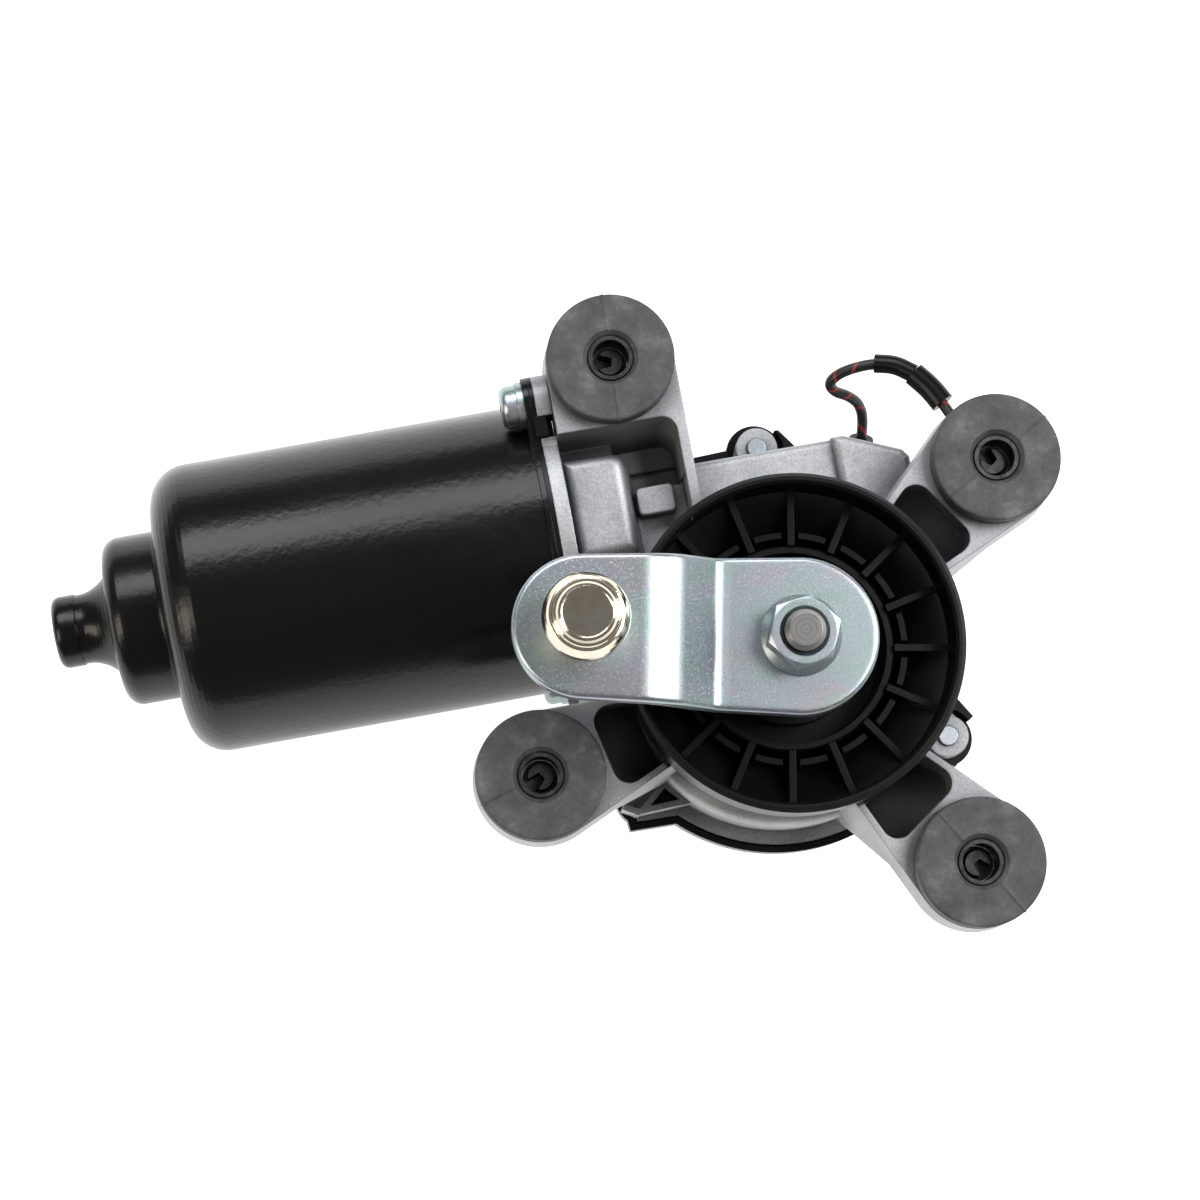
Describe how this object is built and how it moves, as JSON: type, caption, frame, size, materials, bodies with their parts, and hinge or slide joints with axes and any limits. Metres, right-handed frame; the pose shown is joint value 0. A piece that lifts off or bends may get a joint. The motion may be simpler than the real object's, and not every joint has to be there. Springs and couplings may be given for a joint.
{
  "type": "windscreen wiper motor assembly",
  "caption": "Windscreen wiper motor with worm gearbox, black drawn casing, die-cast housing, crank arm with ball stud, water-shield cup and rubber-mounted lugs.",
  "frame": {"origin": "on the output shaft's axis, in the plane of the four grommets' front faces, where the part meets the car's panel", "axes": "+Z along the output shaft towards the crank and out through the panel; +X away from the closed end of the motor, parallel to the motor's axis; +Y from the output shaft towards the motor's axis"},
  "size_m": [0.1978, 0.1328, 0.1063],
  "materials": {
    "die_cast_aluminium": "as cast, bead blasted",
    "black_enamel": "gloss black stove enamel",
    "black_moulding": "moulded, satin",
    "grey_rubber": "moulded, matt",
    "black_rubber": "matt",
    "zinc_plated_steel": "bright zinc plated",
    "turned_steel": "turned",
    "nickel_plate": "nickel plated, polished",
    "sintered_bronze": "oil-soaked sintered bronze",
    "ferrite": "fired ferrite",
    "lamination_steel": "stacked sheet",
    "enamelled_copper": "enamelled copper wire",
    "copper": "bare copper",
    "carbon": "carbon and copper block",
    "white_nylon": "moulded, natural",
    "lead_insulation": "extruded, black with a red tracer",
    "tinned_brass": "tin plated"
  },
  "bodies": {
    "housing": {"gear_housing": "die_cast_aluminium", "shaft_bushes": "sintered_bronze", "shaft_seal": "black_rubber", "tip_bush": "sintered_bronze", "middle_bush": "sintered_bronze", "thrust_plug": "turned_steel", "dust_cup": "black_moulding", "motor_casing": "black_enamel", "magnets": "ferrite", "rear_bush": "sintered_bronze", "bush_retainer": "zinc_plated_steel", "brush_holder": "black_moulding", "brushes": "carbon", "brush_springs": "turned_steel", "flange_gasket": "black_moulding", "clamp_screws": "zinc_plated_steel", "gear_cover": "black_moulding", "cover_seal": "black_rubber", "cover_screws": "zinc_plated_steel", "connector_pins": "tinned_brass", "park_contacts": "tinned_brass", "wire_seal": "black_rubber", "earth_lead": "lead_insulation", "lead_sleeves": "black_moulding", "earth_terminal": "tinned_brass", "mount_grommet_1": "grey_rubber", "mount_grommet_2": "grey_rubber", "mount_grommet_3": "grey_rubber", "mount_grommet_4": "grey_rubber", "mount_collar_1": "zinc_plated_steel", "mount_collar_2": "zinc_plated_steel", "mount_collar_3": "zinc_plated_steel", "mount_collar_4": "zinc_plated_steel"},
    "output": {"output_shaft": "turned_steel", "thrust_washers": "turned_steel", "retaining_ring": "turned_steel", "worm_wheel": "white_nylon", "wheel_hub": "turned_steel", "park_plate": "tinned_brass", "crank_arm": "zinc_plated_steel", "crank_nut": "zinc_plated_steel", "ball_stud": "nickel_plate"},
    "armature": {"armature_shaft": "turned_steel", "armature_core": "lamination_steel", "armature_windings": "enamelled_copper", "commutator": "copper"}
  },
  "joints": [
    {"name": "output_spin", "type": "hinge", "parent": "housing", "child": "output", "pos_m": [0, 0, 0], "axis": [0, 0, 1], "continuous": true},
    {"name": "armature_spin", "type": "hinge", "parent": "housing", "child": "armature", "pos_m": [0, 0.0315, -0.033], "axis": [1, 0, 0], "continuous": true}
  ],
  "couplings": [
    {"joint": "armature_spin", "follows": "output_spin", "ratio": 53}
  ]
}
